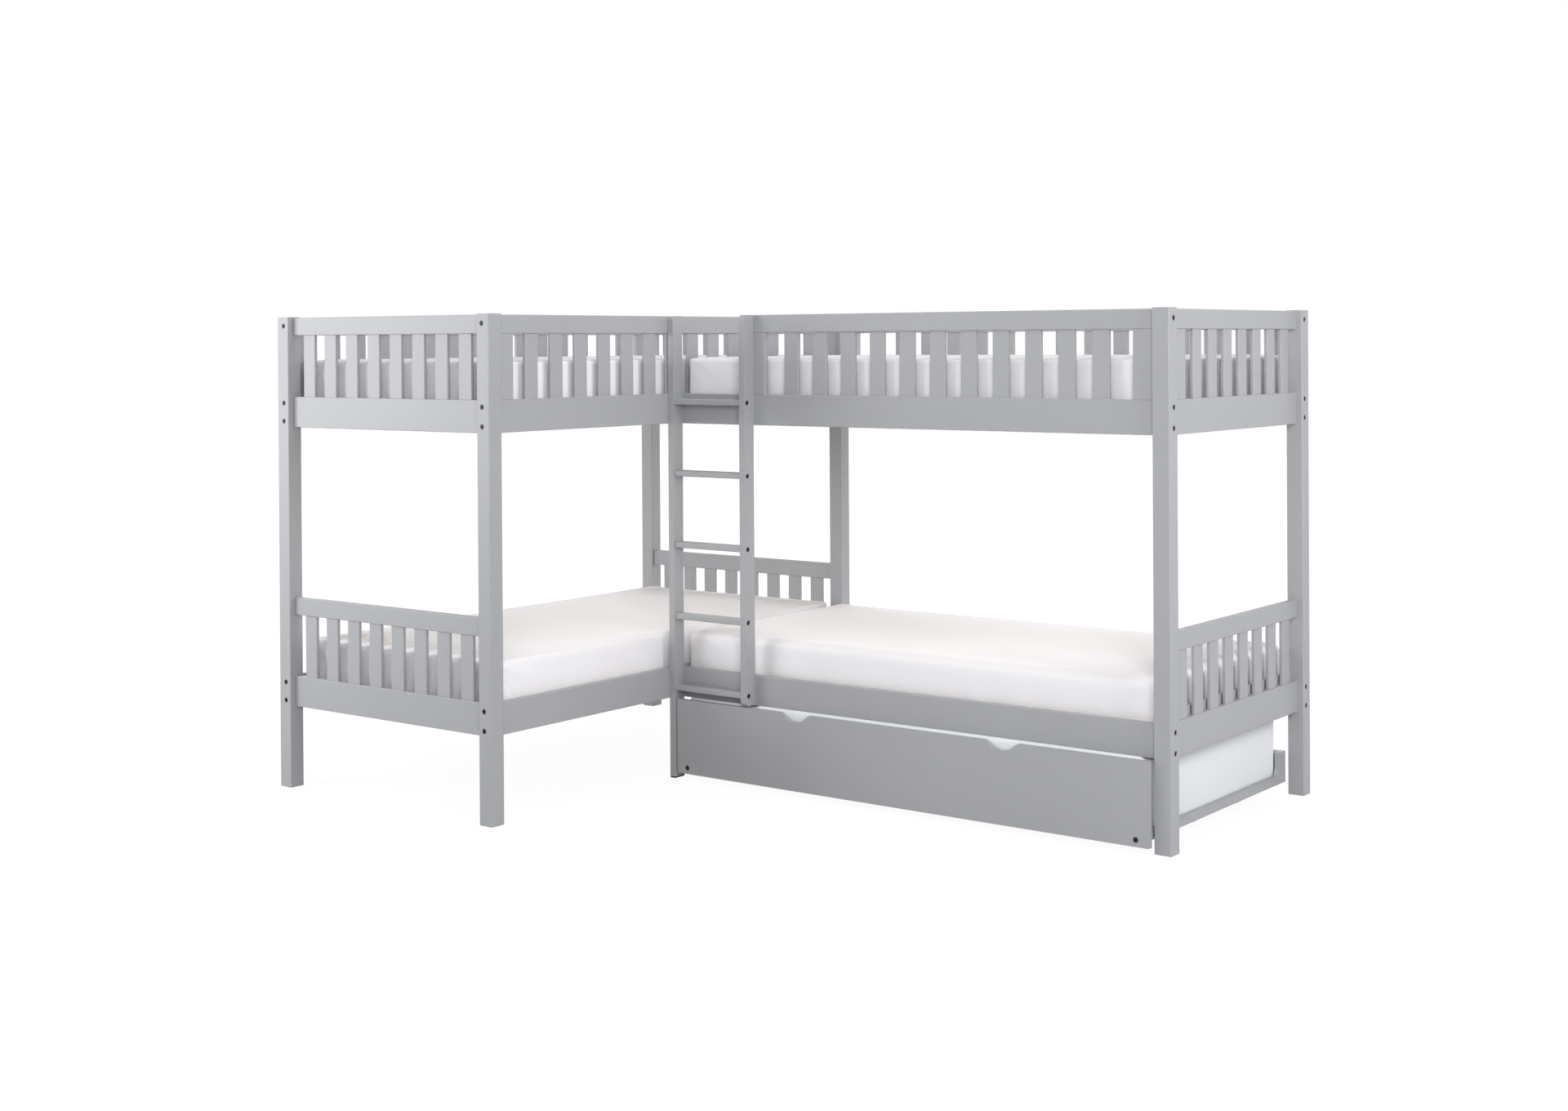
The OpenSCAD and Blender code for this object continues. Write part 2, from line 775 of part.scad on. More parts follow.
// Wheel with a rounded tread, dished faces and a hub that stands out to the cheeks
module wheel(x, y) {
    w = wheel_width / 2;
    r = wheel_radius;
    color(black_plastic) from_corner()
        translate([x, y, r]) rotate([0, 90, 0]) rotate_extrude($fn = 96)
            difference() {
                union() {
                    translate([0, -w + 1]) square([7, 2 * w - 2]);
                    translate([0, -w + 4]) square([r - 4, 2 * w - 8]);
                    translate([r - 7, -w + 3]) square([7, 2 * w - 6]);
                    for (z = [-w + 3, w - 3]) translate([r - 4, z]) circle(3);
                    translate([r - 4, -w]) square([1, 2 * w]);
                }
                translate([-1, -w - 1]) square([axle_r + close_fit + 1, 2 * w + 2]);
                translate([r, -w - 1]) square([5, 2 * w + 2]);
            }
}

// ---------- Mattresses ----------

function corner_at(q, hw, hl, r) = [(q == 0 || q == 3 ? 1 : -1) * (hw - r), (q < 2 ? 1 : -1) * (hl - r)];

// Point j of a ring: six points turn each corner, and three lie on the drawn-in side after it
function ring_point(j, hw, hl, r, z, draw_in) =
    let (q = floor(j / 9), k = j % 9, c = corner_at(q, hw, hl, r))
    k <= 5
        ? [c.x + r * cos(90 * q + 18 * k), c.y + r * sin(90 * q + 18 * k), z]
        : let (t = (k - 5) / 4, turn = 90 * (q + 1), next = corner_at((q + 1) % 4, hw, hl, r),
               reach = r - draw_in * sin(180 * t))
          [c.x + (next.x - c.x) * t + reach * cos(turn), c.y + (next.y - c.y) * t + reach * sin(turn), z];

function mattress_ring(width, length, inset, z, corner_r, draw_in) =
    [for (j = [0 : ring_points - 1])
        ring_point(j, width / 2 - inset, length / 2 - inset, max(corner_r - inset, 8), z, draw_in)];

// Inset and height of each ring, from the flat underside round the edges to the crown
function mattress_section(thick, low_r, high_r, crown) =
    let (edge_top = thick - crown)
    concat([[240, 0]],
           [for (a = [0 : 30 : 90]) [low_r - low_r * sin(a), low_r - low_r * cos(a)]],
           [for (a = [0 : 30 : 90]) [high_r - high_r * cos(a), edge_top - high_r + high_r * sin(a)]],
           [[130, thick - 0.35 * crown], [300, thick]]);

module mattress_form(width, length, thick, form) {
    section = mattress_section(thick, form[1], form[2], form[3]);
    rings = len(section);
    n = ring_points;
    points = concat([for (s = section) each mattress_ring(width, length, s[0], s[1], form[0], form[4])],
                    [[0, 0, 0], [0, 0, thick]]);
    walls = [for (i = [0 : rings - 2], j = [0 : n - 1])
        let (a = i * n + j, b = i * n + (j + 1) % n)
        each [[a, a + n, b + n], [a, b + n, b]]];
    caps = [for (j = [0 : n - 1])
        each [[rings * n, j, (j + 1) % n],
              [rings * n + 1, (rings - 1) * n + (j + 1) % n, (rings - 1) * n + j]]];
    polyhedron(points = points, faces = concat(walls, caps));
}

module left_mattress(z) {
    color(sheet_white) from_corner() translate([frame_width / 2, frame_length / 2, z])
        mattress_form(mattress_width, mattress_length, mattress_thick, bed_mattress_form);
}

// The right unit's mattresses lie against the inner guard, and leave room at the end panel
module right_mattress(z) {
    x = inner_rail_face + mattress_end_play + mattress_length / 2;
    y = (right_unit_setback + frame_length) / 2;
    color(sheet_white) from_corner() translate([x, y, z]) rotate([0, 0, 90])
        mattress_form(mattress_width, mattress_length, mattress_thick, bed_mattress_form);
}

// The trundle's mattress lies on its slats, just below the top edges of the side boards
module trundle_mattress() {
    y = trundle_front_y + trundle_board + trundle_mattress_play + trundle_mattress_width / 2;
    color(sheet_white) from_corner()
        translate([trundle_left + trundle_long / 2, y, trundle_slat_z + trundle_slat_thick])
            rotate([0, 0, 90])
                mattress_form(trundle_mattress_width, trundle_inner_long - 4,
                              trundle_mattress_thick, trundle_mattress_form);
}

// ---------- Pieces ----------

post(LEFT_FRONT, FRONT_PANEL, LEFT);  // left_front_post
post(INNER_FRONT, FRONT_PANEL, INNER);  // inner_front_post
post(LEFT_BACK, BACK_PANEL, LEFT);  // left_back_post
post(MIDDLE_BACK, BACK_PANEL, INNER);  // middle_back_post
post(RIGHT_FRONT, RIGHT_PANEL, FRONT);  // right_front_post
post(RIGHT_BACK, RIGHT_PANEL, BACK);  // right_back_post
panel_top_rails(FRONT_PANEL);  // front_panel_top_rails
panel_top_rails(BACK_PANEL);  // back_panel_top_rails
panel_top_rails(RIGHT_PANEL);  // right_panel_top_rails
panel_bottom_rails(FRONT_PANEL);  // front_panel_bottom_rails
panel_bottom_rails(BACK_PANEL);  // back_panel_bottom_rails
panel_bottom_rails(RIGHT_PANEL);  // right_panel_bottom_rails
panel_slats(FRONT_PANEL);  // front_panel_slats
panel_slats(BACK_PANEL);  // back_panel_slats
panel_slats(RIGHT_PANEL);  // right_panel_slats
guard_top_rail(LEFT);  // left_guard_top_rail
guard_top_rail(INNER);  // inner_guard_top_rail
guard_top_rail(BACK);  // back_guard_top_rail
guard_top_rail(FRONT);  // ladder_side_guard_top_rail
guard_slats(LEFT);  // left_guard_slats
guard_slats(INNER);  // inner_guard_slats
guard_slats(BACK);  // back_guard_slats
guard_slats(FRONT);  // ladder_side_guard_slats
side_rail(LEFT, upper_rail_z);  // left_upper_side_rail
side_rail(INNER, upper_rail_z);  // inner_upper_side_rail
side_rail(BACK, upper_rail_z);  // back_upper_side_rail
side_rail(FRONT, upper_rail_z);  // front_upper_side_rail
side_rail(LEFT, lower_rail_z);  // left_lower_side_rail
side_rail(INNER, lower_rail_z);  // inner_lower_side_rail
side_rail(BACK, lower_rail_z);  // back_lower_side_rail
side_rail(FRONT, lower_rail_z);  // front_lower_side_rail
support_cleats();
left_bed_slats(upper_mattress_z);  // left_upper_bed_slats
left_bed_slats(lower_mattress_z);  // left_lower_bed_slats
right_bed_slats(upper_mattress_z);  // right_upper_bed_slats
right_bed_slats(lower_mattress_z);  // right_lower_bed_slats
low_end_board();
ladder_left_stile();
ladder_right_stile();
ladder_rungs();
ladder_foot_pad();
frame_bolts();
barrel_nuts();
corner_brackets();
trundle_front_panel();
trundle_side_boards();
trundle_back_board();
trundle_bearers();
trundle_slats();
trundle_bolts();
caster_forks();
wheel(wheel_x[0], wheel_y[0]);  // left_front_wheel
wheel(wheel_x[0], wheel_y[1]);  // left_back_wheel
wheel(wheel_x[1], wheel_y[0]);  // right_front_wheel
wheel(wheel_x[1], wheel_y[1]);  // right_back_wheel
left_mattress(upper_mattress_z);  // left_upper_mattress
left_mattress(lower_mattress_z);  // left_lower_mattress
right_mattress(upper_mattress_z);  // right_upper_mattress
right_mattress(lower_mattress_z);  // right_lower_mattress
trundle_mattress();
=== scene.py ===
"""L-shaped bunk bed: grey painted wood, a ladder, a trundle bed on wheels, and five mattresses.

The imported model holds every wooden, steel and plastic piece, and a plain stand-in for each mattress.
This script gives the hard pieces their finishes, and lays a dressed mattress in place of each stand-in.
"""

import math

import bmesh
import bpy
from mathutils import Matrix, Vector, noise


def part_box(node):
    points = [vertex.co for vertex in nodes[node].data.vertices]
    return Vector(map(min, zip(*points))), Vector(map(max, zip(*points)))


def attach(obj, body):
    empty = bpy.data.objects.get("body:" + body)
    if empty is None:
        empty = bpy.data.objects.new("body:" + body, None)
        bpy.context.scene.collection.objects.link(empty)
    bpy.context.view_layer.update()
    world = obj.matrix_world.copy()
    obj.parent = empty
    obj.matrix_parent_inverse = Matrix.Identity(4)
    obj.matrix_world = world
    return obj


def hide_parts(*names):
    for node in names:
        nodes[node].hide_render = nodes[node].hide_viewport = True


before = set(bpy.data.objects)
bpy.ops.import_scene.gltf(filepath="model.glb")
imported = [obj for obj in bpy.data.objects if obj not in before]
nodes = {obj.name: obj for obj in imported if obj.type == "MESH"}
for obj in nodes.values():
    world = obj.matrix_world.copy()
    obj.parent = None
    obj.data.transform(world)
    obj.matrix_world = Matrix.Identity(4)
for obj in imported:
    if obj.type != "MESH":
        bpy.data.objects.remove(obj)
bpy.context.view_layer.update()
bpy.ops.object.select_all(action="DESELECT")

# ---------- Camera ----------
# A long lens at standing height, to the right of the bed's inner corner. It looks level, and the frame
# is shifted down, so the posts stay upright as they are in the photograph.

IMAGE_WIDTH = 1920
IMAGE_HEIGHT = 1361
FOCAL_PIXELS = 2456.0
CENTRE_PIXELS = (971.7, 433.3)
CAMERA_PLACE = (4.2453, -5.5751, 1.565)
CAMERA_DIP = 0.0058
CAMERA_ROLL = 0.006
CAMERA_TURN = 0.6466
bpy.ops.object.camera_add(location=CAMERA_PLACE)
camera = bpy.context.object
camera.name = "camera"
camera.rotation_euler = (math.pi / 2 - CAMERA_DIP, CAMERA_ROLL, CAMERA_TURN)
camera.data.sensor_width = 36
camera.data.lens = camera.data.sensor_width * FOCAL_PIXELS / IMAGE_WIDTH
camera.data.shift_x = (IMAGE_WIDTH / 2 - CENTRE_PIXELS[0]) / IMAGE_WIDTH
camera.data.shift_y = (CENTRE_PIXELS[1] - IMAGE_HEIGHT / 2) / IMAGE_WIDTH
camera.data.clip_end = 60
bpy.context.scene.camera = camera
bpy.context.scene.view_settings.view_transform = "Standard"

# ---------- Studio ----------
# A white paper floor that fades into white air. Broad soft lamps stand all round: near the left front
# corner, above the camera, to the right, to the left, two behind the bed, and a wide one overhead.


class Socket:
    """One output of a shader node. Python's own operators on it add Math nodes."""

    def __init__(self, finish, link):
        self.finish = finish
        self.link = link

    def worked(self, operation, first, second):
        return self.finish.node("Math", {"operation": operation}, {0: first, 1: second})

    def __add__(self, other):
        return self.worked("ADD", self, other)

    def __rsub__(self, other):
        return self.worked("SUBTRACT", other, self)

    def __mul__(self, other):
        return self.worked("MULTIPLY", self, other)

    __radd__ = __add__
    __rmul__ = __mul__


class Finish:
    """The nodes of one material or of the world, added one call at a time."""

    def __init__(self, owner):
        owner.use_nodes = True
        self.owner = owner
        self.tree = owner.node_tree
        self.tree.nodes.clear()

    def node(self, kind, settings, inputs, output=0):
        """Adds a node of one type with its settings, and the values or links of its sockets."""
        made = self.tree.nodes.new("ShaderNode" + kind)
        for name, setting in settings.items():
            setattr(made, name, setting)
        for name, value in inputs.items():
            if isinstance(value, Socket):
                self.tree.links.new(value.link, made.inputs[name])
            else:
                made.inputs[name].default_value = value
        return Socket(self, made.outputs[output]) if made.outputs else made

    def mixed(self, share, first, second):
        """A colour between two colours."""
        return self.node("Mix", {"data_type": "RGBA"}, {0: share, 6: first, 7: second}, 2)

    def seen_directly(self):
        """1 for rays from the camera, in a mirror or through glass, and 0 for light that falls on things."""
        path = [self.node("LightPath", {}, {}, ray) for ray in ("Is Camera Ray", "Is Glossy Ray")]
        clear = self.node("LightPath", {}, {}, "Is Transmission Ray")
        return self.node("Math", {"operation": "ADD", "use_clamp": True}, {0: path[0] + path[1], 1: clear})


AIR_LIGHT = 0.03
AIR_COLOUR = (0.96, 0.98, 1, 1)
WHITE = (1, 1, 1, 1)
world = bpy.data.worlds.new("studio_air")
bpy.context.scene.world = world
air = Finish(world)
air_white = air.node("Background", {}, {"Color": WHITE, "Strength": 1.0})
air_dim = air.node("Background", {}, {"Color": AIR_COLOUR, "Strength": AIR_LIGHT})
air_seen = air.node("MixShader", {}, {0: air.seen_directly(), 1: air_dim, 2: air_white})
air.node("OutputWorld", {}, {"Surface": air_seen})

FLOOR_SIDE = 40
FLOOR_DROP = 0.0005
PAPER = (0.60, 0.60, 0.60, 1)
PAPER_WHITE = 1.05
SHADOW_SHARE = 0.10
SHADOW_ENDS = (2.0, 4.2)
bpy.ops.mesh.primitive_plane_add(size=FLOOR_SIDE, location=(0, 0, -FLOOR_DROP))
floor = bpy.context.object
floor.name = "floor"
paper = Finish(bpy.data.materials.new("white_paper"))
paper_matt = paper.node("BsdfDiffuse", {}, {"Color": PAPER})
paper_white = paper.node("Emission", {}, {"Color": WHITE, "Strength": PAPER_WHITE})
paper_place = paper.node("TexCoord", {}, {}, "Object")
paper_reach = paper.node("VectorMath", {"operation": "LENGTH"}, {0: paper_place}, "Value")
paper_shade = paper.node("MapRange", {}, {
    "Value": paper_reach, "From Min": SHADOW_ENDS[0], "From Max": SHADOW_ENDS[1],
    "To Min": SHADOW_SHARE, "To Max": 0.0,
})
paper_share = paper.seen_directly() * (1 - paper_shade)
paper_seen = paper.node("MixShader", {}, {0: paper_share, 1: paper_matt, 2: paper_white})
paper.node("OutputMaterial", {}, {"Surface": paper_seen})
floor.data.materials.append(paper.owner)


def lamp(name, place, towards, side, power, mirrored=True):
    """A square soft box that faces a point. The lamps behind the bed aren't mirrored in what it is made
    of, so they leave no glare on surfaces seen at a low angle."""
    bpy.ops.object.light_add(type="AREA", location=place)
    made = bpy.context.object
    made.name = name
    made.data.size = side
    made.data.energy = power
    made.visible_camera = False
    made.visible_glossy = mirrored
    made.rotation_euler = (Vector(towards) - Vector(place)).to_track_quat("-Z", "Y").to_euler()


lamp("front_lamp", (-2.7, -3.0, 1.8), (-0.9, -0.6, 0.9), 2.0, 88)
lamp("fill_lamp", (4.6, -5.4, 2.9), (0.2, 0, 0.9), 2.6, 280)
lamp("right_lamp", (4.8, -0.2, 2.5), (1.2, 0.4, 1.2), 2.4, 118)
lamp("left_lamp", (-4.8, 0.4, 1.1), (-0.6, 0.2, 0.6), 2.6, 62)
lamp("top_lamp", (0.4, -0.6, 4.6), (0.2, 0.2, 0), 3.6, 96)
lamp("back_left_lamp", (-2.8, 3.9, 1.5), (0.2, 0.4, 0.5), 3.0, 205, mirrored=False)
lamp("back_lamp", (1.1, 3.9, 1.8), (0.5, 0.4, 0.5), 2.8, 112, mirrored=False)

# ---------- Painted frame ----------
# Planed hardwood boards, sprayed with a cool light grey satin lacquer. The grain of each board shows
# through as long shallow ridges, so boards that stand, lie across or run back have their own finish.

GREY = (0.335, 0.339, 0.355, 1)
GREY_DEEP = (0.306, 0.310, 0.325, 1)
GRAIN_ACROSS = 260
GRAIN_ALONG = 5
RUNS = {
    "x": (GRAIN_ALONG, GRAIN_ACROSS, GRAIN_ACROSS),
    "y": (GRAIN_ACROSS, GRAIN_ALONG, GRAIN_ACROSS),
    "z": (GRAIN_ACROSS, GRAIN_ACROSS, GRAIN_ALONG),
}
CLOUD_SHARE = 0.7
GRAIN_SHARE = 0.3
SATIN = 0.36


def lacquer(run):
    """Grey satin lacquer over boards whose grain runs along one axis."""
    paint = Finish(bpy.data.materials.new("grey_lacquer_" + run))
    place = paint.node("TexCoord", {}, {}, "Object")
    along = paint.node("Mapping", {}, {"Vector": place, "Scale": RUNS[run]})
    grain = paint.node("TexNoise", {}, {"Vector": along, "Scale": 1.0, "Detail": 5.0, "Roughness": 0.6})
    cloud = paint.node("TexNoise", {}, {"Vector": place, "Scale": 2.2, "Detail": 3.0})
    mist = paint.node("TexNoise", {}, {"Vector": place, "Scale": 420.0, "Detail": 2.0})
    tone = paint.mixed(cloud * CLOUD_SHARE + grain * GRAIN_SHARE, GREY_DEEP, GREY)
    level = paint.node("Bump", {}, {"Strength": 0.22, "Distance": 0.0006, "Height": grain})
    skin = paint.node("Bump", {}, {"Strength": 0.10, "Distance": 0.0003, "Height": mist, "Normal": level})
    shader = paint.node("BsdfPrincipled", {}, {
        "Base Color": tone, "Roughness": cloud * 0.10 + grain * 0.06 + SATIN, "Normal": skin,
        "Specular IOR Level": 0.36, "Coat Weight": 0.05, "Coat Roughness": 0.35,
    })
    paint.node("OutputMaterial", {}, {"Surface": shader})
    return paint.owner


def finish_nodes(material, names):
    for name in names:
        nodes[name].data.materials.clear()
        nodes[name].data.materials.append(material)


finish_nodes(lacquer("z"), [
    "left_front_post", "inner_front_post", "left_back_post",
    "middle_back_post", "right_front_post", "right_back_post",
    "front_panel_slats", "back_panel_slats", "right_panel_slats",
    "left_guard_slats", "inner_guard_slats", "back_guard_slats", "ladder_side_guard_slats",
    "ladder_left_stile", "ladder_right_stile",
])
finish_nodes(lacquer("x"), [
    "front_panel_top_rails", "back_panel_top_rails", "front_panel_bottom_rails", "back_panel_bottom_rails",
    "back_guard_top_rail", "ladder_side_guard_top_rail",
    "back_upper_side_rail", "front_upper_side_rail", "back_lower_side_rail", "front_lower_side_rail",
    "ladder_rungs", "trundle_front_panel", "trundle_back_board",
])
finish_nodes(lacquer("y"), [
    "right_panel_top_rails", "right_panel_bottom_rails", "left_guard_top_rail", "inner_guard_top_rail",
    "left_upper_side_rail", "inner_upper_side_rail", "left_lower_side_rail", "inner_lower_side_rail",
    "low_end_board", "trundle_side_boards",
])

# ---------- Bare pine ----------
# The bed slats, their cleats and the trundle's bearers are planed pine without lacquer, pale and a
# little yellow, with darker late wood in long lines and a few small knots.

PINE_EARLY = (0.76, 0.63, 0.46, 1)
PINE_LATE = (0.61, 0.45, 0.28, 1)
PINE_KNOT = (0.22, 0.11, 0.045, 1)
PINE_RUNS = {"x": (1.3, 22, 22), "y": (22, 1.3, 22)}
KNOT_STRETCH = 0.22
KNOT_CLOSE = 1.2


def bare_pine(run):
    """Planed pine whose grain runs along one axis."""
    wood = Finish(bpy.data.materials.new("bare_pine_" + run))
    place = wood.node("TexCoord", {}, {}, "Object")
    along = wood.node("Mapping", {}, {"Vector": place, "Scale": PINE_RUNS[run]})
    drift = wood.node("TexNoise", {}, {"Vector": along, "Scale": 0.6, "Detail": 3.0}, 1)
    bent = wood.node("VectorMath", {"operation": "MULTIPLY_ADD"}, {0: drift, 1: (2.4, 2.4, 2.4), 2: along})
    rings = wood.node("TexWave", {"wave_type": "RINGS", "rings_direction": run.upper()},
                      {"Vector": bent, "Scale": 0.9, "Distortion": 2.5, "Detail": 3.0})
    fibre = wood.node("TexNoise", {}, {"Vector": along, "Scale": 14.0, "Detail": 4.0})
    spread = [v * KNOT_STRETCH + KNOT_CLOSE for v in PINE_RUNS[run]]
    cells = wood.node("Mapping", {}, {"Vector": place, "Scale": spread})
    knots = wood.node("TexVoronoi", {}, {"Vector": cells, "Scale": 0.9})
    knot = wood.node("MapRange", {}, {
        "Value": knots, "From Min": 0.05, "From Max": 0.09, "To Min": 1.0, "To Max": 0.0,
    })
    grain = wood.mixed(rings * 0.65 + fibre * 0.3, PINE_EARLY, PINE_LATE)
    tone = wood.mixed(knot, grain, PINE_KNOT)
    level = wood.node("Bump", {}, {"Strength": 0.3, "Distance": 0.0005, "Height": fibre + rings})
    shader = wood.node("BsdfPrincipled", {}, {
        "Base Color": tone, "Roughness": fibre * 0.15 + 0.55, "Normal": level, "Specular IOR Level": 0.35,
    })
    wood.node("OutputMaterial", {}, {"Surface": shader})
    return wood.owner


finish_nodes(bare_pine("x"), ["left_upper_bed_slats", "left_lower_bed_slats", "trundle_bearers"])
finish_nodes(bare_pine("y"), [
    "right_upper_bed_slats", "right_lower_bed_slats", "trundle_slats", "support_cleats",
])

# ---------- Bolts and steel ----------
# Blackened socket-head bolts pull the rails on to the posts, and bright zinc-plated steel makes their
# barrel nuts, the angles in the corner and the trundle's wheel forks.

BLACKENED = ((0.040, 0.041, 0.045, 1), (0.014, 0.015, 0.017, 1))
ZINC = ((0.62, 0.64, 0.66, 1), (0.44, 0.46, 0.49, 1))


def plated(name, light, dark, scale, gloss):
    """Plated steel: cloudy crystals of the plating, and fine scratches in all directions."""
    steel = Finish(bpy.data.materials.new(name))
    place = steel.node("TexCoord", {}, {}, "Object")
    crystals = steel.node("TexVoronoi", {"feature": "SMOOTH_F1"}, {"Vector": place, "Scale": scale})
    scratch = steel.node("TexNoise", {}, {"Vector": place, "Scale": 900.0, "Detail": 3.0})
    tone = steel.mixed(crystals * 0.6 + scratch * 0.4, dark, light)
    level = steel.node("Bump", {}, {"Strength": 0.15, "Distance": 0.0002, "Height": scratch})
    shader = steel.node("BsdfPrincipled", {}, {
        "Base Color": tone, "Metallic": 0.9, "Roughness": scratch * 0.16 + gloss, "Normal": level,
    })
    steel.node("OutputMaterial", {}, {"Surface": shader})
    return steel.owner


finish_nodes(plated("black_bolt_steel", *BLACKENED, 300.0, 0.34), ["frame_bolts", "trundle_bolts"])
finish_nodes(plated("bright_zinc", *ZINC, 120.0, 0.26), ["barrel_nuts", "corner_brackets", "caster_forks"])

# ---------- Wheels and foot pad ----------
# The trundle's four wheels and the pad under the ladder's long stile are moulded in black nylon, matt,
# with the fine grain of the mould and a dusty tread.

NYLON = (0.018, 0.018, 0.020, 1)
NYLON_DUSTY = (0.050, 0.049, 0.047, 1)
nylon = Finish(bpy.data.materials.new("black_nylon"))
nylon_place = nylon.node("TexCoord", {}, {}, "Object")
mould = nylon.node("TexNoise", {}, {"Vector": nylon_place, "Scale": 1500.0, "Detail": 2.0})
dust = nylon.node("TexNoise", {}, {"Vector": nylon_place, "Scale": 45.0, "Detail": 5.0})
nylon_tone = nylon.mixed(dust * 0.8, NYLON, NYLON_DUSTY)
nylon_level = nylon.node("Bump", {}, {"Strength": 0.2, "Distance": 0.0002, "Height": mould})
nylon_shader = nylon.node("BsdfPrincipled", {}, {
    "Base Color": nylon_tone, "Roughness": dust * 0.2 + 0.42, "Normal": nylon_level,
})
nylon.node("OutputMaterial", {}, {"Surface": nylon_shader})
finish_nodes(nylon.owner, [
    "left_front_wheel", "left_back_wheel", "right_front_wheel", "right_back_wheel", "ladder_foot_pad",
])

# ---------- Upper mattresses ----------
# A foam block in a white fitted cotton sheet, twice the same. The sheet is drawn over the block and held
# by elastic below it, so it swells a little on top, pulls in between the corners, and gathers at its hem.

WARM_SHEET = ((0.782, 0.770, 0.788, 1), (0.752, 0.740, 0.758, 1))
THREADS = 2 * math.pi / 0.0007


def cotton(name, white, shade):
    """Plain woven cotton: crossing threads, thicker slubs, and soft dents of the foam under it. The colour
    varies with the slubs and darkens in the dents as painted shade.
    """
    cloth = Finish(bpy.data.materials.new(name))
    place = cloth.node("TexCoord", {}, {}, "Object")
    threads = []
    for axis in ("X", "Y", "Z"):
        across = cloth.node("SeparateXYZ", {}, {0: place}, axis)
        threads.append(cloth.node("Math", {"operation": "SINE"}, {0: across * THREADS}))
    slub = cloth.node("TexNoise", {}, {"Vector": place, "Scale": 260.0, "Detail": 3.0})
    drape = cloth.node("TexNoise", {}, {"Vector": place, "Scale": 7.0, "Detail": 4.0, "Roughness": 0.55})
    weave = threads[0] + threads[1] + threads[2]
    # The noise that dents the sheet also darkens it there: painted shade in the dents, plus the slubs' own
    # tone.
    tone = cloth.mixed(drape * 0.7 + slub * 0.3, shade, white)
    soft = cloth.node("Bump", {}, {"Strength": 0.25, "Distance": 0.006, "Height": drape})
    woven = cloth.node("Bump", {}, {
        "Strength": 0.25, "Distance": 0.00012, "Height": weave + slub, "Normal": soft,
    })
    shader = cloth.node("BsdfPrincipled", {}, {
        "Base Color": tone, "Roughness": slub * 0.1 + 0.82, "Normal": woven, "Specular IOR Level": 0.25,
        "Sheen Weight": 0.12, "Sheen Roughness": 0.5,
    })
    cloth.node("OutputMaterial", {}, {"Surface": shader})
    return cloth.owner


warm_cotton = cotton("white_cotton", *WARM_SHEET)

# How far the sheet lets the foam swell, the radii of the foam's upright, lower and upper edges, and how
# loose the sheet is
UPPER_FOAM = {"give": 0.005, "corner": 0.020, "low_edge": 0.010, "high_edge": 0.011, "slack": 0.6}
END_REACH = 0.008
FLAT = 0.001
CORNER_STEPS = 6
HIGH_STEPS = 5
LOW_STEPS = 3
VOXEL = 0.0145


def box_size(node):
    low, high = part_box(node)
    return low, high, high - low


def bevel_edges(block, wanted, radius, segments):
    """Rounds the edges whose two ends pass a test."""
    mesh = bmesh.from_edit_mesh(block.data)
    for edge in mesh.edges:
        edge.select_set(wanted(edge.verts[0].co, edge.verts[1].co))
    mesh.select_flush_mode()
    bpy.ops.mesh.bevel(offset=radius, segments=segments, affect="EDGES")


def foam_block(name, size, foam):
    """A rounded block that stands on the floor plane, a little smaller than the dressed mattress."""
    give = foam["give"]
    height = size.z - give
    bpy.ops.mesh.primitive_cube_add(size=1, location=(0, 0, 0))
    block = bpy.context.object
    block.name = name
    bpy.ops.object.mode_set(mode="EDIT")
    bpy.ops.transform.resize(value=(size.x - 2 * give, size.y - 2 * give, height))
    bpy.ops.transform.translate(value=(0, 0, height / 2))
    bpy.ops.mesh.select_mode(type="EDGE")
    bevel_edges(block, lambda a, b: abs(a.z - b.z) > height / 2, foam["corner"], CORNER_STEPS)
    bevel_edges(block, lambda a, b: min(a.z, b.z) > height - FLAT, foam["high_edge"], HIGH_STEPS)
    bevel_edges(block, lambda a, b: max(a.z, b.z) < FLAT, foam["low_edge"], LOW_STEPS)
    bpy.ops.object.mode_set(mode="OBJECT")
    block.data.remesh_voxel_size = VOXEL
    bpy.ops.object.voxel_remesh()
    return block


SIM_FRAMES = 20
HELD_BELOW = 0.004


def swell(block, give):
    """Blows the sheet up with cloth, and lets no point move further than the sheet gives."""
    held = block.vertex_groups.new(name="resting")
    start = [v.co.copy() for v in block.data.vertices]
    held.add([v.index for v in block.data.vertices if v.co.z < HELD_BELOW], 1.0, "REPLACE")
    cloth = block.modifiers.new("Cloth", "CLOTH")
    cloth.settings.quality = 4
    cloth.settings.mass = 0.3
    cloth.settings.tension_stiffness = 12
    cloth.settings.compression_stiffness = 12
    cloth.settings.bending_stiffness = 4
    cloth.settings.use_pressure = True
    cloth.settings.uniform_pressure_force = 3.0
    cloth.settings.effector_weights.gravity = 0
    cloth.settings.vertex_group_mass = "resting"
    cloth.point_cache.frame_start = 1
    cloth.point_cache.frame_end = SIM_FRAMES
    for step in range(1, SIM_FRAMES + 1):
        bpy.context.scene.frame_set(step)
    bpy.ops.object.modifier_apply(modifier="Cloth")
    for vertex, at in zip(block.data.vertices, start):
        move = vertex.co - at
        if move.length > give:
            vertex.co = at + move.normalized() * give
    block.vertex_groups.clear()


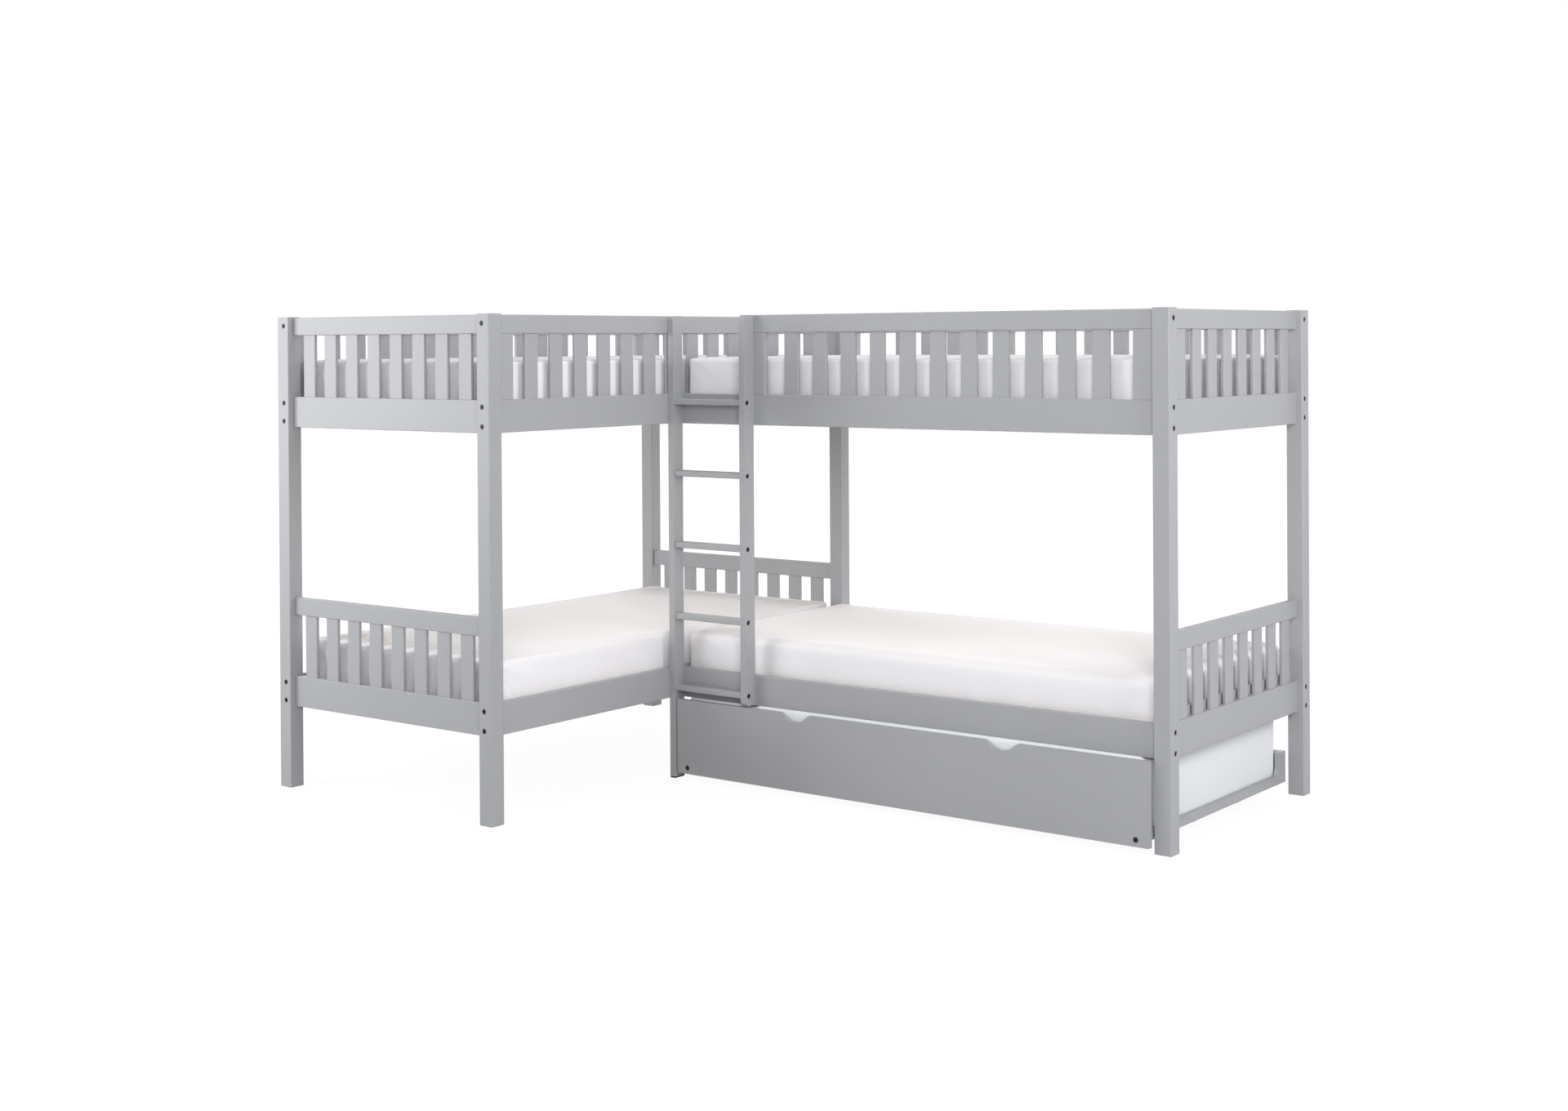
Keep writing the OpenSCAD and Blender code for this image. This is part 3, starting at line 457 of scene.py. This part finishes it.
# The bands that count as side, end, top and hem, then the long waves on top, the upright folds above the
# hem and the drags that fan out from the corners. A START is where the piece's noise is read.
EDGE_BAND = 0.02
TOP_BAND = 0.03
HEM_BAND = 0.006
CALM_BAND = 0.12
WAVE_HEIGHT = 0.0022
WAVES_ACROSS = 2.2
WAVES_ALONG = 1.1
WAVE_START = 3.1
FOLD_HEIGHT = 0.0030
FOLD_SHARE = 0.75
FOLDS_ALONG = 16
FOLDS_UP = 3
FOLD_START = 7.7
DRAG_HEIGHT = 0.0022
DRAG_REACH = 0.30
DRAG_FAN = 11
DRAG_WANDER = 5
DRAG_START = 1.3
CORNER_EASE = 0.05
RIM_EASE = 0.04
DRAW_IN = 0.004


def gather(block, size, slack):
    """The sheet's pull: sides drawn in between the corners, long shallow waves on top, upright folds
    above the hem, and drags from the corners."""
    for vertex in block.data.vertices:
        x, y, z = vertex.co
        on_end = abs(y) > size.y / 2 - EDGE_BAND
        on_side = abs(x) > size.x / 2 - EDGE_BAND
        to_side = size.x / 2 - abs(x)
        to_end = size.y / 2 - abs(y)
        if z > size.z - TOP_BAND and not on_side and not on_end:
            calm = max(0, min(1, to_side / CALM_BAND, to_end / CALM_BAND))
            wave = noise.noise(Vector((x * WAVES_ACROSS, y * WAVES_ALONG, WAVE_START)))
            vertex.co.z += slack * WAVE_HEIGHT * calm * wave
        elif z > HEM_BAND and on_side != on_end:
            run, past_corner = (x, to_side) if on_end else (y, to_end)
            below_top = size.z - z
            low = max(0, 1 - z / (FOLD_SHARE * size.z))
            start = FOLD_START + (x > 0) + 2 * (y > 0)
            fold = low * noise.noise(Vector((run * FOLDS_ALONG, z * FOLDS_UP, start)))
            turn = math.atan2(below_top, past_corner)
            near = max(0, 1 - math.hypot(below_top, past_corner) / DRAG_REACH)
            ease = min(1, past_corner / CORNER_EASE, below_top / RIM_EASE)
            wander = noise.noise(Vector((run * DRAG_WANDER, z * DRAG_WANDER, DRAG_START)))
            drag = near * max(0, ease) * math.sin(turn * DRAG_FAN + 2 * wander)
            along = run / (size.x / 2 if on_end else size.y / 2)
            push = slack * (FOLD_HEIGHT * fold + DRAG_HEIGHT * drag) - DRAW_IN * (1 - along ** 2)
            if on_side:
                vertex.co.x += math.copysign(push, x)
            else:
                vertex.co.y += math.copysign(push, y)


def dressed_mattress(name, size, foam, sheet):
    """A foam block in its sheet, at the origin, with its length along y."""
    block = foam_block(name, size, foam)
    swell(block, foam["give"])
    finer = block.modifiers.new("finer", "SUBSURF")
    finer.levels = finer.render_levels = 1
    bpy.ops.object.modifier_apply(modifier="finer")
    gather(block, size, foam["slack"])
    bpy.ops.object.shade_smooth()
    block.data.materials.append(sheet)
    return block


def lay(piece, node, body, push=0):
    """Moves a mattress made at the origin to its node's place, turns it where the node lies across, and
    can push it along the bed."""
    low, high, size = box_size(node)
    turn = Matrix.Rotation(math.pi / 2, 4, "Z") if size.x > size.y else Matrix.Identity(4)
    middle = Matrix.Translation(((low.x + high.x) / 2 + push, (low.y + high.y) / 2, low.z))
    piece.data.transform(middle @ turn)
    piece.data.update()
    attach(piece, body)
    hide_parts(node)


twin = box_size("left_upper_mattress")[2] + Vector((0, 2 * END_REACH, 0))
upper = dressed_mattress("left_upper_dressed_mattress", twin, UPPER_FOAM, warm_cotton)
bpy.ops.object.duplicate()
bpy.context.object.name = "right_upper_dressed_mattress"
lay(bpy.context.object, "right_upper_mattress", "bunk_frame")
lay(upper, "left_upper_mattress", "bunk_frame")

# ---------- Lower mattresses ----------
# The same foam and sheet as above. The left one's sheet is the loosest. The right one has rounder upper
# edges, and lies pushed against the left unit's rail.

LEFT_FOAM = {"give": 0.006, "corner": 0.020, "low_edge": 0.010, "high_edge": 0.014, "slack": 1.7}
RIGHT_FOAM = {"give": 0.007, "corner": 0.014, "low_edge": 0.010, "high_edge": 0.032, "slack": 0.8}
RIGHT_PUSH = -0.006

for place, foam, push in (("left_lower", LEFT_FOAM, 0), ("right_lower", RIGHT_FOAM, RIGHT_PUSH)):
    bpy.ops.object.select_all(action="DESELECT")
    made = dressed_mattress(place + "_dressed_mattress", twin, foam, warm_cotton)
    lay(made, place + "_mattress", "bunk_frame", push)

# ---------- Trundle mattress ----------
# A thicker block in the same cotton, painted darker and cooler than the upper sheets as painted shade for
# the dimmer light near the floor. Behind the front panel the sheet puffs up over the panel's edge. It stays
# in front of the bed's rail and dips under the foot of the ladder's right stile.

# The trundle sheet's colours are the cotton painted darker and cooler: painted shade, not a different sheet.
COOL_SHADED_SHEET = ((0.700, 0.714, 0.744, 1), (0.673, 0.687, 0.717, 1))
TRUNDLE_FOAM = {"give": 0.002, "corner": 0.026, "low_edge": 0.010, "high_edge": 0.012, "slack": 0.35}
PUFF_HIGH = 0.012
PUFF_DEEP = 0.023
PUFF_LEVEL = 0.7
PUFF_BELOW = 0.03
PUFF_STEEP = 1.5
DIP_REACH = 0.03
DIP_SHARE = 0.25


def puff_front_edge(block, size, middle_x):
    """Raises the front top edge of a mattress at the origin, less near the ladder's foot."""
    foot_low, foot_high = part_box("ladder_right_stile")
    for vertex in block.data.vertices:
        behind = (vertex.co.x + size.x / 2) / PUFF_DEEP
        near_top = (vertex.co.z - size.z + PUFF_BELOW) / PUFF_BELOW
        if behind < 1 and near_top > 0:
            across_bed = middle_x - vertex.co.y
            past_foot = max(foot_low.x - across_bed, across_bed - foot_high.x)
            high = PUFF_HIGH * min(1, max(DIP_SHARE, past_foot / DIP_REACH))
            fall = max(0, behind * (1 + PUFF_LEVEL) - PUFF_LEVEL)
            vertex.co.z += high * min(1, near_top * PUFF_STEEP) * math.cos(math.pi / 2 * fall)


cool_shaded_cotton = cotton("cool_shaded_white_cotton", *COOL_SHADED_SHEET)
trundle_low, trundle_high, trundle_across = box_size("trundle_mattress")
trundle_size = Vector((trundle_across.y, trundle_across.x, trundle_across.z))
bpy.ops.object.select_all(action="DESELECT")
trundle_mattress = dressed_mattress("trundle_dressed_mattress", trundle_size, TRUNDLE_FOAM, cool_shaded_cotton)
puff_front_edge(trundle_mattress, trundle_size, (trundle_low.x + trundle_high.x) / 2)
lay(trundle_mattress, "trundle_mattress", "trundle")
